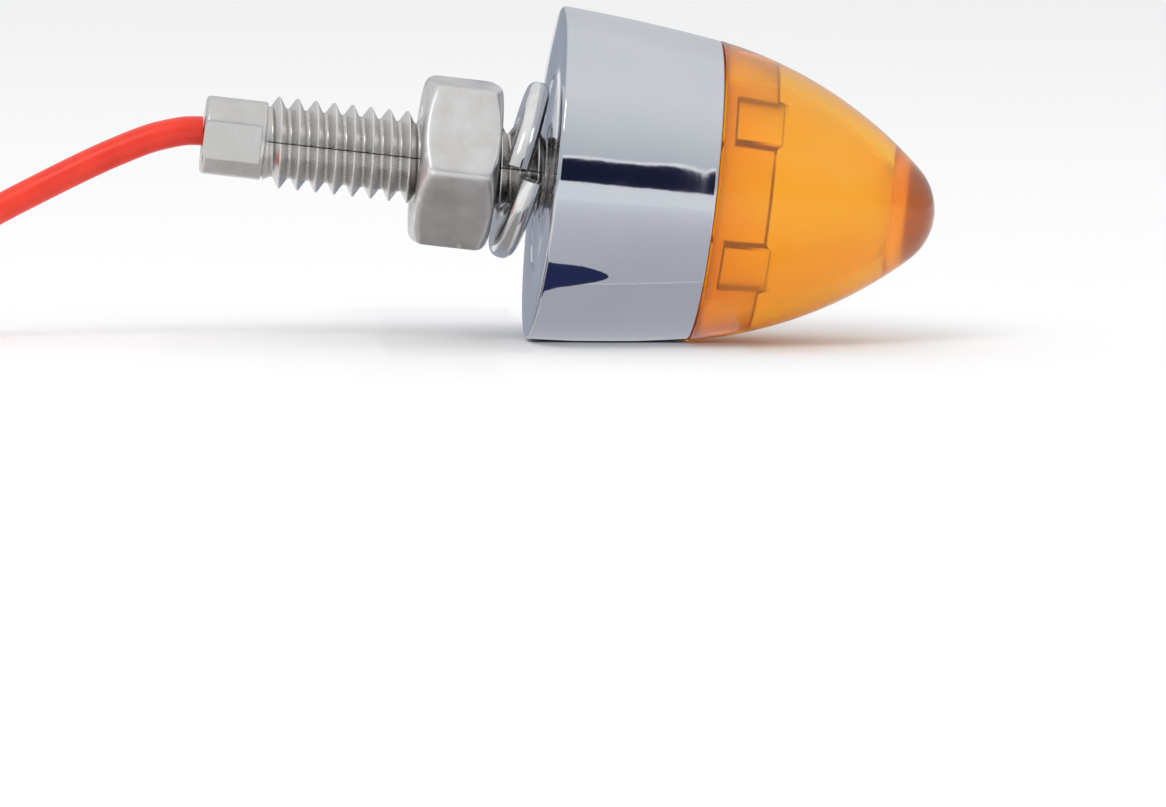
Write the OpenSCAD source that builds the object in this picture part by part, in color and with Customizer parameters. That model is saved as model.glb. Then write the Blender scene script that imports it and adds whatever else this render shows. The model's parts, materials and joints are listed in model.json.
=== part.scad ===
// Chrome bullet turn signal with an amber lens, a hollow threaded mounting stud and a single red lead.
// Millimetres. The lamp lies on its tapered flank on the plane z = 0, with its lens towards +X and
// its stud towards -X. Each piece of the lamp is drawn about its own axis and then laid down by lay().

/* [Housing] */
// Diameter of the housing at its mounting face
back_d = 23.4; // [23:0.1:26]
// Diameter of the housing where the lens meets it
front_d = 21; // [20.8:0.1:21.6]
// Length of the housing along its axis
housing_l = 11.1; // [11:0.1:14]
// Diameter of the cavity that takes the board, the reflector and the lens skirt
cavity_d = 18.8; // [18.8:0.1:19]
// Thickness of the back wall
back_wall = 2.4; // [2:0.1:2.6]
// Width of the chamfer round both rims
rim_chamfer = 0.3; // [0.2:0.05:0.4]

/* [Lens] */
// Radius of the arc that the side of the lens follows
ogive_r = 29.3; // [28:0.1:31]
// Angle between the side of the lens and the axis at its base
base_angle = 10; // [8:0.5:12]
// Angle between the side of the lens and the axis where the round nose starts
nose_angle = 42.5; // [40:0.5:45]
// Depth that the skirt of the lens reaches into the housing
skirt_l = 3; // [2.8:0.1:3.1]
// Number of moulded lugs round the inside of the lens
lug_count = 5; // [4:1:6]
// Angle that one lug covers
lug_angle = 47; // [40:1:50]
// Turn of the lugs about the lamp's axis
lug_clock = -3; // [-10:1:10]

/* [Stud and hardware] */
// Diameter over the thread crests of the stud
thread_d = 6.3; // [6.2:0.05:6.35]
// Distance from one thread crest to the next
thread_pitch = 1.27; // [1.2:0.01:1.3]
// Distance from the mounting face to the end of the thread
thread_l = 19; // [19:0.1:20]
// Length of the plain tip with the two wrench flats
tip_l = 4.65; // [4.2:0.05:6]
// Diameter of the plain tip
tip_d = 5.4; // [5:0.05:5.6]
// Distance across the two wrench flats of the tip
tip_flats = 4.7; // [4.4:0.05:4.8]
// Bore of the stud, which the lead runs through
stud_bore = 2.6; // [2.5:0.1:2.8]
// Distance across the flats of the nut
nut_flats = 11.1; // [10.5:0.1:11.2]
// Thickness of the nut
nut_t = 5.4; // [5:0.1:5.6]
// Distance from the mounting face to the nut
nut_gap = 3.45; // [3.4:0.05:3.6]
// Outside diameter of the lock washer
washer_d = 12.4; // [12:0.1:12.6]
// Width of the lock washer's section, across the ring
washer_w = 2.75; // [2.5:0.05:2.8]
// Thickness of the lock washer
washer_t = 1.55; // [1.4:0.05:1.6]
// Angle at which the loose lock washer leans on the stud
washer_lean = 4.4; // [3:0.1:4.6]

/* [Lead] */
// Diameter of the lead over its insulation
lead_d = 2; // [1.8:0.1:2]
// Diameter of the lead's stranded conductor
core_d = 0.9; // [0.7:0.1:1]

/* [Hidden] */

$fn = 72;
chrome = [0.80, 0.81, 0.84];
nickel = [0.70, 0.69, 0.66];
amber = [0.95, 0.60, 0.10];
lead_red = [0.85, 0.12, 0.08];
copper = [0.80, 0.50, 0.32];

// The lamp rests on its flank, so its axis leans by the taper of the housing.
back_r = back_d / 2;
front_r = front_d / 2;
cavity_r = cavity_d / 2;
lay_angle = atan((back_r - front_r) / housing_l);
axis_z = back_r * cos(lay_angle);

// Housing: the ledge for the board, and the shallow spot face under the lock washer.
ledge_x = 5.6;
ledge_r = 8.6;
spot_face_r = 6.8;
spot_face_depth = 0.1;

// Stud: a flange inside the back wall, a plain shank through it, and thread crests that are flat
// from the nut outwards.
stud_l = thread_l + tip_l;
shank_r = thread_d / 2 + 0.3;
shank_chamfer = 0.3;
stud_hole_r = shank_r + 0.05;
flange_r = 4.5;
flange_t = 1.2;
flange_x = back_wall + flange_t;
crest_r = thread_d / 2;
root_r = crest_r - 0.75;
crest_w = 0.16;
flank_w = (crest_r - root_r) * tan(30);
crest_count = 15;
last_crest = thread_l - crest_w / 2 - flank_w - 0.04;
tip_chamfer = 0.3;
tip_flat_l = 3.95;
tip_clock = 4;

// Nut: it runs on the thread crests, and one of its corners points a little below -Y.
nut_bore_r = thread_d / 2 + 0.05;
nut_corner_r = nut_flats / 2 / cos(30);
nut_chamfer = 0.6;
nut_clock = 4;

// Lock washer: it leans away from the housing at its lower side, and its gap faces -Y.
washer_x = 1.66;
washer_gap = 7;
washer_clock = 10;

// Lens: a skirt that slides in the cavity, an ogive outside, and a smaller one inside.
lens_gap = 0.05;
lens_x = housing_l + lens_gap;
lens_base_r = front_r - 0.1;
lens_wall = 1.3;
cavity_nose_angle = 36;
skirt_r = cavity_r - 0.06;
skirt_bore_r = 7.6;
notch_r = 8.3;
notch_x = 0.8;
lug_l = 3.75;
seal_r = 0.45;
seal_x = -1.5;
groove_r = skirt_r - 0.9;
groove_w = 1.1;

// Board and what stands on it.
board_r = 9.3;
board_t = 1;
board_front = ledge_x + board_t;
led_count = 3;
led_at = 4.6;
led_w = 3.5;
led_t = 0.9;
dome_r = 1.5;
dome_t = 0.5;
reflector_r = 9.2;
reflector_t = 1.2;
centre_hole_r = 1.35;
resistor_at = 5.6;
ground_at = 3.2;
ground_r = 0.3;
disc_r = 8.4;
disc_t = 0.3;

// Lead inside the stud: it lies against the top of the bore, and its core ends in the board.
lead_r = lead_d / 2;
core_r = core_d / 2;
lead_rise = 0.2;
strip_x = 4.2;
core_end = 7;
sealant_l = 2.2;
sealant_x = 0.4 - stud_l;

// The lamp's middle along X is over the origin.
nose_r = (lens_base_r - ogive_r * (cos(base_angle) - cos(nose_angle))) / cos(nose_angle);
nose_x = lens_x + ogive_r * (sin(nose_angle) - sin(base_angle)) - nose_r * sin(nose_angle);
x_right = nose_x * cos(lay_angle) + nose_r;
x_left = -stud_l * cos(lay_angle) - (tip_d / 2 - tip_chamfer) * sin(lay_angle);
origin_shift = -(x_left + x_right) / 2;

// Route of the lead from the end of the stud down to the coil on the plane z = 0.
route = [[-25.2, 0, 14.4], [-26.3, 0, 14.4], [-27.5, 0, 14.2], [-29, 0, 13.8], [-31, 0, 13],
         [-33, 0, 12.1], [-36, 0, 10.6], [-39, -0.2, 9.05], [-42, -0.8, 7.4], [-45, -1.8, 5.7],
         [-48, -3.1, 4], [-51, -4.4, 2.4], [-54, -5.4, 1.4], [-57, -5.9, 1]];
// Route of the lead's tail from the top of the coil down to the plane.
tail = [[-60, 19.5, 3], [-58, 19.5, 2.8], [-55, 19.6, 1.9], [-52, 19.9, 1.2], [-49, 20.2, 1]];
strands_end = [-43, 20.9, 1];
coil_at = [-61, 6.75];
coil_in_r = 8.2;
coil_out_r = 13.8;
coil_h = 4;
coil_round = 0.8;
tie_angle = 200;
tie_w = 2.4;
tie_t = 0.5;

module lay() {
    translate([origin_shift, 0, axis_z]) rotate([0, lay_angle, 0]) children();
}

// Stands a shape that was drawn round Z on the lamp's axis, with its z = 0 at x.
module on_axis(x = 0) {
    translate([x, 0, 0]) rotate([0, 90, 0]) children();
}

// Outline of an ogive that lies d inside the lens's own, from angle a0 to a1, as [radius, x] points.
function ogive(d, a0, a1, steps) = [for (i = [0:steps])
    let (a = a0 + (a1 - a0) * i / steps)
    [lens_base_r - ogive_r * (cos(base_angle) - cos(a)) - d * cos(a),
     ogive_r * (sin(a) - sin(base_angle)) - d * sin(a)]];

// Round nose that continues such an outline smoothly from its last point p to the axis.
function nose(p, a, steps) = let (r = p[0] / cos(a), x = p[1] - r * sin(a))
    [for (i = [1:steps]) let (b = a + (90 - a) * i / steps)
        [i == steps ? 0 : r * cos(b), x + r * sin(b)]];

function last(list) = list[len(list) - 1];

module housing() {
    color(chrome) lay() on_axis() rotate_extrude() polygon([
        [stud_hole_r, spot_face_depth], [spot_face_r, spot_face_depth], [spot_face_r, 0],
        [back_r - rim_chamfer, 0], [back_r, rim_chamfer],
        [front_r, housing_l - rim_chamfer], [front_r - rim_chamfer, housing_l],
        [cavity_r, housing_l], [cavity_r, ledge_x], [ledge_r, ledge_x],
        [ledge_r, back_wall], [stud_hole_r, back_wall]]);
}

// One thread crest at distance x from the mounting face, as [radius, x] points, with a flat of width w.
function crest(x, w) = let (half = crest_w / 2 + flank_w)
    w > 0 ? [[root_r, half - x], [crest_r, w / 2 - x], [crest_r, -w / 2 - x], [root_r, -half - x]]
          : [[root_r, half - x], [crest_r, -x], [root_r, -half - x]];

module stud() {
    crests = [for (i = [crest_count - 1:-1:0]) last_crest - i * thread_pitch];
    thread = [for (x = crests) each crest(x, x > nut_gap + nut_t ? crest_w : 0)];
    color(nickel) lay() difference() {
        on_axis() rotate_extrude() polygon(concat(
            [[stud_bore / 2, flange_x], [flange_r, flange_x], [flange_r, back_wall],
             [shank_r, back_wall], [shank_r, spot_face_depth + shank_chamfer],
             [shank_r - shank_chamfer, spot_face_depth], [root_r, spot_face_depth]],
            thread,
            [[tip_d / 2, -thread_l], [tip_d / 2, tip_chamfer - stud_l],
             [tip_d / 2 - tip_chamfer, -stud_l], [stud_bore / 2, -stud_l]]));
        for (side = [0, 180])
            rotate([side + tip_clock, 0, 0])
                translate([-stud_l - 1, tip_flats / 2, -tip_d])
                    cube([tip_flat_l + 1, tip_d, 2 * tip_d]);
    }
}

module mounting_nut() {
    face_r = nut_flats / 2 - 0.2;
    color(nickel) lay() rotate([nut_clock, 0, 0]) on_axis(-nut_gap - nut_t) difference() {
        intersection() {
            rotate(30) cylinder(h = nut_t, r = nut_corner_r, $fn = 6);
            rotate_extrude() polygon([
                [0, 0], [face_r, 0], [nut_corner_r, nut_chamfer],
                [nut_corner_r, nut_t - nut_chamfer], [face_r, nut_t], [0, nut_t]]);
        }
        rotate_extrude() polygon([
            [0, -1], [nut_bore_r + 0.4, -1], [nut_bore_r + 0.4, 0], [nut_bore_r, 0.4],
            [nut_bore_r, nut_t - 0.4], [nut_bore_r + 0.4, nut_t], [nut_bore_r + 0.4, nut_t + 1],
            [0, nut_t + 1]]);
    }
}

module lock_washer() {
    out_r = washer_d / 2;
    edge = 0.2;
    color(chrome) lay() translate([-washer_x, 0, 0]) rotate([0, washer_lean, 0])
        rotate([washer_clock, 0, 0]) on_axis() rotate([0, 0, -90 + washer_gap / 2])
            rotate_extrude(angle = 360 - washer_gap) polygon([
                [out_r - washer_w, -washer_t / 2], [out_r - edge, -washer_t / 2],
                [out_r, edge - washer_t / 2], [out_r, washer_t / 2 - edge],
                [out_r - edge, washer_t / 2], [out_r - washer_w, washer_t / 2]]);
}

module lens() {
    side = ogive(0, base_angle, nose_angle, 24);
    start_angle = asin((lug_l + ogive_r * sin(base_angle)) / (ogive_r - lens_wall));
    inside = ogive(lens_wall, start_angle, cavity_nose_angle, 16);
    outer = concat(side, nose(last(side), nose_angle, 12));
    inner = concat(inside, nose(last(inside), cavity_nose_angle, 12));
    notch_angle = 360 / lug_count - lug_angle;
    color(amber) lay() on_axis(lens_x) difference() {
        rotate_extrude() polygon(concat(
            [[skirt_bore_r, -skirt_l], [skirt_r, -skirt_l],
             [skirt_r, seal_x - groove_w / 2], [groove_r, seal_x - groove_w / 2],
             [groove_r, seal_x + groove_w / 2], [skirt_r, seal_x + groove_w / 2],
             [skirt_r, 0]],
            outer,
            [for (i = [len(inner) - 1:-1:0]) inner[i]],
            [[skirt_bore_r, lug_l]]));
        for (i = [0:lug_count - 1])
            rotate(lug_clock + (i + 0.5) * 360 / lug_count - 90 - notch_angle / 2)
                rotate_extrude(angle = notch_angle) polygon([
                    [skirt_bore_r - 1, notch_x], [notch_r, notch_x],
                    [notch_r, lug_l + 0.3], [skirt_bore_r - 1, lug_l + 0.3]]);
    }
}

module lens_seal() {
    color("black") lay() on_axis(lens_x + seal_x) rotate_extrude()
        translate([groove_r + seal_r + 0.01, 0]) circle(seal_r, $fn = 24);
}

module reflector() {
    color("white") lay() on_axis(board_front) difference() {
        cylinder(h = reflector_t, r = reflector_r);
        translate([0, 0, -1]) cylinder(h = reflector_t + 2, r = centre_hole_r);
        for (i = [0:led_count - 1])
            rotate(i * 360 / led_count) translate([led_at, 0, 0]) rotate_extrude() polygon([
                [0, -1], [2.55, -1], [2.55, 0.2], [3.2, reflector_t], [3.2, reflector_t + 1],
                [0, reflector_t + 1]]);
    }
}

module circuit_board() {
    color("darkgreen") lay() on_axis(ledge_x) difference() {
        cylinder(h = board_t, r = board_r);
        translate([-lead_rise, 0, -1]) cylinder(h = board_t + 2, r = core_r + 0.2);
    }
}

module each_led() {
    for (i = [0:led_count - 1])
        rotate(i * 360 / led_count) translate([led_at, 0, 0]) children();
}

module led_bodies() {
    color("ivory") lay() on_axis(board_front) each_led()
        translate([-led_w / 2, -led_w / 2, 0]) cube([led_w, led_w, led_t]);
}

module led_domes() {
    color("gold") lay() on_axis(board_front + led_t) each_led()
        cylinder(h = dome_t, r1 = dome_r, r2 = dome_r - dome_t);
}

module resistors() {
    color("dimgray") lay() on_axis(ledge_x - 0.6) for (side = [-1, 1])
        translate([-1.6, side * resistor_at - 0.8, 0]) cube([3.2, 1.6, 0.6]);
}

module diode() {
    color("dimgray") lay() on_axis(ledge_x - 1.1)
        translate([resistor_at - 0.9, -1.4, 0]) cube([1.8, 2.8, 1.1]);
}

module insulator_disc() {
    color("burlywood") lay() on_axis(flange_x) difference() {
        cylinder(h = disc_t, r = disc_r);
        translate([-lead_rise, 0, -1]) cylinder(h = disc_t + 2, r = lead_r + 0.1);
        translate([-ground_at, 0, -1]) cylinder(h = disc_t + 2, r = ground_r + 0.2);
    }
}

module ground_wire() {
    color("silver") lay() on_axis(flange_x) translate([-ground_at, 0, 0])
        cylinder(h = ledge_x - flange_x, r = ground_r);
}

module solder_joints() {
    color("silver") lay() {
        on_axis(board_front) translate([-lead_rise, 0, 0]) difference() {
            cylinder(h = 0.3, r1 = 1, r2 = 0.7);
            translate([0, 0, -1]) cylinder(h = 2, r = core_r + 0.02);
        }
        on_axis(ledge_x - 0.4) translate([-ground_at, 0, 0]) difference() {
            cylinder(h = 0.4, r1 = 0.5, r2 = 0.9);
            translate([0, 0, -1]) cylinder(h = 2, r = ground_r + 0.02);
        }
    }
}

module inner_lead() {
    color(lead_red) lay() on_axis(-stud_l) translate([-lead_rise, 0, 0])
        cylinder(h = stud_l + strip_x, r = lead_r);
}

module lead_core() {
    color(copper) lay() on_axis(strip_x) translate([-lead_rise, 0, 0])
        cylinder(h = core_end - strip_x, r = core_r);
}

module bore_sealant() {
    color("gray") lay() on_axis(sealant_x) difference() {
        cylinder(h = sealant_l, r = stud_bore / 2 - 0.02);
        translate([-lead_rise, 0, -1]) cylinder(h = sealant_l + 2, r = lead_r + 0.02);
    }
}

function unit(v) = v / norm(v);

// Points of a ring of n points round point i of a path, square to the path there.
function ring(path, i, r, n) =
    let (before = path[max(i - 1, 0)], after = path[min(i + 1, len(path) - 1)],
         along = unit(after - before), side = unit(cross(along, [0, 0, 1])), up = cross(side, along))
    [for (k = [0:n - 1]) path[i] + r * (cos(360 * k / n) * side + sin(360 * k / n) * up)];

// A closed round tube along a path.
module tube(path, r, n = 8) {
    rings = len(path);
    points = [for (i = [0:rings - 1]) each ring(path, i, r, n)];
    sides = [for (i = [0:rings - 2], k = [0:n - 1])
        [i * n + k, (i + 1) * n + k, (i + 1) * n + (k + 1) % n, i * n + (k + 1) % n]];
    first = [[for (k = [0:n - 1]) k]];
    end = [[for (k = [n - 1:-1:0]) (rings - 1) * n + k]];
    polyhedron(points = points, faces = concat(sides, first, end));
}

module lead_wire() {
    color(lead_red) tube(route, lead_r);
}

module lead_coil() {
    color(lead_red) translate([coil_at[0], coil_at[1], 0]) rotate_extrude() polygon([
        [coil_in_r + coil_round, 0], [coil_out_r - coil_round, 0], [coil_out_r, coil_round],
        [coil_out_r, coil_h - coil_round], [coil_out_r - coil_round, coil_h],
        [coil_in_r + coil_round, coil_h], [coil_in_r, coil_h - coil_round],
        [coil_in_r, coil_round]]);
}

module lead_tail() {
    color(lead_red) tube(tail, lead_r);
}

module lead_strands() {
    color(copper) tube([last(tail), (last(tail) + strands_end) / 2, strands_end], core_r);
}

module coil_tie() {
    width = coil_out_r - coil_in_r;
    color("black") translate([coil_at[0], coil_at[1], 0]) rotate(tie_angle)
        translate([coil_in_r, -tie_w / 2, 0]) difference() {
            translate([-tie_t, 0, 0]) cube([width + 2 * tie_t, tie_w, coil_h + tie_t]);
            translate([0, -1, tie_t]) cube([width, tie_w + 2, coil_h - tie_t]);
        }
}

housing();
stud();
mounting_nut();
lock_washer();
lens();
lens_seal();
reflector();
circuit_board();
led_bodies();
led_domes();
resistors();
diode();
insulator_disc();
ground_wire();
solder_joints();
inner_lead();
lead_core();
bore_sealant();
lead_wire();
lead_coil();
lead_tail();
lead_strands();
coil_tie();
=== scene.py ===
import json
import math

import bmesh
import bpy
from mathutils import Matrix, Vector


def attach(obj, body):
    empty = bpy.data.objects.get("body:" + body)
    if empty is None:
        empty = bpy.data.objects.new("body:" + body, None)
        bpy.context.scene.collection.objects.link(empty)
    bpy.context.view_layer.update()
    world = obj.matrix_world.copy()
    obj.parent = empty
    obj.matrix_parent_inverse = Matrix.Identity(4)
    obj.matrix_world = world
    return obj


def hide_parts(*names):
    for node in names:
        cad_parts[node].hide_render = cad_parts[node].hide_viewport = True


# Chrome bullet turn signal with an amber lens. Lengths in this script are millimetres, and MM turns them
# into Blender's metres. "Lamp frame" means x along the lamp's axis from its mounting face towards the
# lens, y across, and z up from the axis. Angles round the axis run from +y towards +z.

MM = 0.001
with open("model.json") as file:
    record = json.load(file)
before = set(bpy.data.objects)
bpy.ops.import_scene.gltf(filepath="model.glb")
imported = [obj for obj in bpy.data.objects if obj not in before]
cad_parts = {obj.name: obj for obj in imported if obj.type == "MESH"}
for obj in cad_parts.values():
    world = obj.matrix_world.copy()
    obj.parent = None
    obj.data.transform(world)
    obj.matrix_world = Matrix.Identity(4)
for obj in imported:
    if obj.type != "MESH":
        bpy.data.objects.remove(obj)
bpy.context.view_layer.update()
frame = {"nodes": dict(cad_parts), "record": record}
NODES = frame["nodes"]
SCENE = bpy.context.scene


def lamp_matrix():
    """Matrix of the lamp frame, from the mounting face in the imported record."""
    face = next(m for m in frame["record"]["mounts"] if m["name"] == "mounting_face")
    along = -Vector(face["axis"]).normalized()
    across = Vector((0, 1, 0))
    matrix = Matrix((along, across, along.cross(across))).transposed().to_4x4()
    matrix.translation = Vector(face["pos_m"])
    return matrix


LAMP = lamp_matrix()
ROW = Matrix.Identity(4)

# ---------------------------------------------------------------- sizes

# These are the CAD part's sizes, but for two: the washer sits 0.04 mm further out, and the lens's cavity
# ends in a flatter dome, so that the tip looks as dark and as long as it should.

HOUSING_L = 11.1
BACK_R = 11.7
FRONT_R = 10.5
CAVITY_R = 9.4
LEDGE_X = 5.6
LEDGE_R = 8.6
BACK_WALL = 2.4
SPOT_FACE_R = 6.8
SPOT_FACE_DEPTH = 0.1
RIM_ROUND = 0.22
SHANK_R = 3.45

THREAD_L = 19.0
STUD_L = 23.65
CREST_R = 3.15
ROOT_R = 2.4
PITCH = 1.27
SEAM_ANGLE = 177.5
TIP_R = 2.7
TIP_FLAT = 2.35
TIP_FLAT_L = 3.95
TIP_CLOCK = 4
STUD_BORE_R = 1.3
FLANGE_R = 4.5
FLANGE_X = 3.6

NUT_X = -6.15
NUT_HALF = 2.7
NUT_FLAT = 5.55
NUT_BORE_R = 3.2
NUT_CLOCK = 4

WASHER_X = -1.7
WASHER_R = 6.2
WASHER_W = 2.75
WASHER_T = 1.55

LENS_X = 11.15
LENS_R = 10.4
OGIVE_R = 29.3
BASE_ANGLE = 10
NOSE_ANGLE = 42.5
LENS_WALL = 1.3
CAVITY_END_ANGLE = 38
CAVITY_DOME_R = 20
SKIRT_L = 3.0
SKIRT_R = 9.34
SKIRT_BORE_R = 7.6
NOTCH_R = 8.3
NOTCH_X = 0.8
LUG_L = 3.75
LUGS = 5
LUG_HALF_ANGLE = 23.5
LUG_CLOCK = -3

LEAD_R = 1.0

# ---------------------------------------------------------------- camera


def make_camera():
    """Long lens a little behind the lamp's side, a few degrees above it, rolled a touch."""
    azimuth = math.radians(-4.4)
    elevation = math.radians(5)
    roll = math.radians(0.5)
    distance = 558.4
    aim_right = 2.69
    aim_down = 15.93
    back = Vector((math.sin(azimuth) * math.cos(elevation), -math.cos(azimuth) * math.cos(elevation),
                   math.sin(elevation)))
    level = Vector((math.cos(azimuth), math.sin(azimuth), 0))
    upright = back.cross(level)
    right = level * math.cos(roll) + upright * math.sin(roll)
    up = back.cross(right)
    target = LAMP.translation + (right * aim_right - up * aim_down) * MM
    data = bpy.data.cameras.new("camera")
    data.sensor_width = 36
    data.lens = 250
    data.clip_start = 0.05
    data.clip_end = 20
    camera = bpy.data.objects.new("camera", data)
    matrix = Matrix((right, up, back)).transposed().to_4x4()
    matrix.translation = target + back * distance * MM
    camera.matrix_world = matrix
    SCENE.collection.objects.link(camera)
    SCENE.camera = camera


# ---------------------------------------------------------------- mesh helpers


def skin(rings, closed=False, caps=False):
    """Points and faces of a surface through equal rings of points."""
    size = len(rings[0])
    count = len(rings)
    points = [p for ring in rings for p in ring]
    faces = []
    for i in range(count if closed else count - 1):
        a = i * size
        b = (i + 1) % count * size
        faces += [(a + k, b + k, b + (k + 1) % size, a + (k + 1) % size) for k in range(size)]
    if caps:
        faces.append(tuple(range(size)))
        faces.append(tuple(range((count - 1) * size, count * size)))
    return points, faces


def joined(*parts):
    """Several (points, faces) pairs as one."""
    points, faces = [], []
    for more_points, more_faces in parts:
        start = len(points)
        points += more_points
        faces += [tuple(start + k for k in face) for face in more_faces]
    return points, faces


def new_mesh(name, shape, matrix=LAMP, sharp=40):
    """A smooth-shaded mesh object from (points, faces) in millimetres, with its doubles welded."""
    mesh = bpy.data.meshes.new(name)
    points, faces = shape
    mesh.from_pydata([[c * MM for c in p] for p in points], [], faces)
    work = bmesh.new()
    work.from_mesh(mesh)
    bmesh.ops.remove_doubles(work, verts=work.verts, dist=1e-6)
    bmesh.ops.dissolve_degenerate(work, edges=work.edges, dist=1e-7)
    bmesh.ops.recalc_face_normals(work, faces=work.faces)
    work.to_mesh(mesh)
    work.free()
    mesh.shade_smooth()
    mesh.set_sharp_from_angle(angle=math.radians(sharp))
    piece = bpy.data.objects.new(name, mesh)
    piece.matrix_world = matrix
    SCENE.collection.objects.link(piece)
    return piece


def place(piece, body, slot, *nodes):
    """The piece rides on a body and stands for CAD nodes; its slot argument is not used."""
    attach(piece, body)
    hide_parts(*nodes)


def arc(x, r, radius, start, end, steps):
    """Points (x, r) of an arc about (x, r); the angle runs from the +x direction towards +r."""
    angles = [math.radians(start + (end - start) * i / steps) for i in range(steps + 1)]
    return [(x + radius * math.cos(a), r + radius * math.sin(a)) for a in angles]


def rounded(corners, steps=4):
    """A closed outline with its corners rounded. Each corner is (x, r) or (x, r, radius)."""
    outline = []
    for i, corner in enumerate(corners):
        here = Vector(corner[:2])
        if len(corner) == 2:
            outline.append(tuple(here))
            continue
        to_last = (Vector(corners[i - 1][:2]) - here).normalized()
        to_next = (Vector(corners[(i + 1) % len(corners)][:2]) - here).normalized()
        half = to_last.angle(to_next) / 2
        centre = here + (to_last + to_next).normalized() * corner[2] / math.sin(half)
        start = here + to_last * corner[2] / math.tan(half) - centre
        end = here + to_next * corner[2] / math.tan(half) - centre
        turn = start.angle_signed(end)
        for k in range(steps + 1):
            a = -turn * k / steps
            outline.append((centre.x + start.x * math.cos(a) - start.y * math.sin(a),
                            centre.y + start.x * math.sin(a) + start.y * math.cos(a)))
    return outline


def around(outline, angle):
    """An outline of (x, r) points turned to an angle round the lamp's axis."""
    c, s = math.cos(math.radians(angle)), math.sin(math.radians(angle))
    return [(x, r * c, r * s) for x, r in outline]


def turned(outline, steps):
    """A closed outline turned all the way round the lamp's axis."""
    return skin([around(outline, 360 * i / steps) for i in range(steps)], closed=True)


def smoothstep(t):
    """A soft step from 0 to 1, held at its ends."""
    t = min(max(t, 0), 1)
    return t * t * (3 - 2 * t)


# ---------------------------------------------------------------- lead


ROUTE = [(-25.2, 0, 14.4), (-26.3, 0, 14.4), (-27.5, 0, 14.2), (-29, 0, 13.8), (-31, 0, 13),
         (-33, 0, 12.1), (-36, 0, 10.6), (-39, -0.2, 9.05), (-42, -0.8, 7.4), (-45, -1.8, 5.7),
         (-48, -3.1, 4), (-51, -4.4, 2.4), (-54, -5.4, 1.4), (-57, -5.9, 1)]
TAIL = [(-60, 19.5, 3), (-58, 19.5, 2.8), (-55, 19.6, 1.9), (-52, 19.9, 1.2), (-49, 20.2, 1)]
STRANDS_END = (-43, 20.9, 1)
COIL_AT = (-61, 6.75)
COIL_OUTER_R = 12.75
COIL_INNER_R = 9.25
COIL_TURNS = 3.5
COIL_H = 4
TIE_ANGLE = 200
TIE_W = 2.4
TIE_T = 0.5


def coil_points():
    """Centreline of the coil: one flat layer winding inwards, and one on top of it winding out again."""
    per_turn = 24
    tie_lift = 0.45
    tie_reach = 0.35
    points = []
    count = round(COIL_TURNS * per_turn)
    for i in range(count + 1):
        t = i / per_turn
        half = COIL_TURNS / 2
        angle = -90 - 360 * t
        r = COIL_INNER_R + (COIL_OUTER_R - COIL_INNER_R) * abs(t - half) / half
        climb = smoothstep((t - half + 0.2) / 0.4)
        from_tie = math.radians((angle - TIE_ANGLE + 180) % 360 - 180)
        lift = tie_lift * math.exp(-(from_tie / tie_reach) ** 2)
        a = math.radians(angle)
        points.append((COIL_AT[0] + r * math.cos(a), COIL_AT[1] + r * math.sin(a),
                       LEAD_R + 2 * LEAD_R * climb + lift))
    return points


def smooth_line(knots):
    """Points on one smooth curve through the knots."""
    steps = 4
    knots = [Vector(k) for k in knots]
    line = []
    for i in range(len(knots) - 1):
        p0, p1, p2 = knots[max(i - 1, 0)], knots[i], knots[i + 1]
        p3 = knots[min(i + 2, len(knots) - 1)]
        for k in range(steps):
            t = k / steps
            line.append(0.5 * (2 * p1 + (p2 - p0) * t + (2 * p0 - 5 * p1 + 4 * p2 - p3) * t ** 2
                               + (3 * p1 - p0 - 3 * p2 + p3) * t ** 3))
    return line + [knots[-1]]


def tube(points, radius, sides):
    """A round tube along points."""
    rings = []
    for i, p in enumerate(points):
        along = (points[min(i + 1, len(points) - 1)] - points[max(i - 1, 0)]).normalized()
        side = along.cross(Vector((0, 0, 1))).normalized()
        up = side.cross(along)
        turn = [2 * math.pi * k / sides for k in range(sides)]
        rings.append([p + (side * math.cos(a) + up * math.sin(a)) * radius for a in turn])
    return skin(rings, caps=True)


def make_lead():
    """The insulated lead, from the end of the stud through its coil to where its strands begin."""
    line = smooth_line(ROUTE + coil_points() + TAIL)
    lead = new_mesh("red_lead", tube(line, LEAD_R, 20), ROW)
    place(lead, "lamp", "red_insulation", "lead_wire", "lead_coil", "lead_tail")
    return lead, line


def make_strands():
    """Seven twisted copper strands that fan out a little where they end."""
    start, end = Vector(TAIL[-1]), Vector(STRANDS_END)
    along = (end - start).normalized()
    side = along.cross(Vector((0, 0, 1))).normalized()
    up = side.cross(along)
    strand_r = 0.15
    steps = 22
    hidden = 0.5
    stagger = 0.06
    twist = 250
    ring_r = 0.3
    fan = 0.12
    strands = []
    for n in range(7):
        off_centre = 0 if n == 0 else 1
        length = (end - start).length + hidden - stagger * (n % 3)
        path = []
        for i in range(steps + 1):
            t = i / steps
            angle = math.radians(60 * n + twist * t)
            opened = smoothstep((t - 0.75) / 0.25)
            reach = off_centre * (ring_r + fan * opened * (1 + 0.5 * math.sin(3 * n)))
            path.append(start + along * (length * t - hidden)
                        + (side * math.cos(angle) + up * math.sin(angle)) * reach)
        strands.append(tube(path, strand_r, 8))
    piece = new_mesh("copper_strands", joined(*strands), ROW)
    place(piece, "lamp", "bare_copper", "lead_strands")
    return piece


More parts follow.
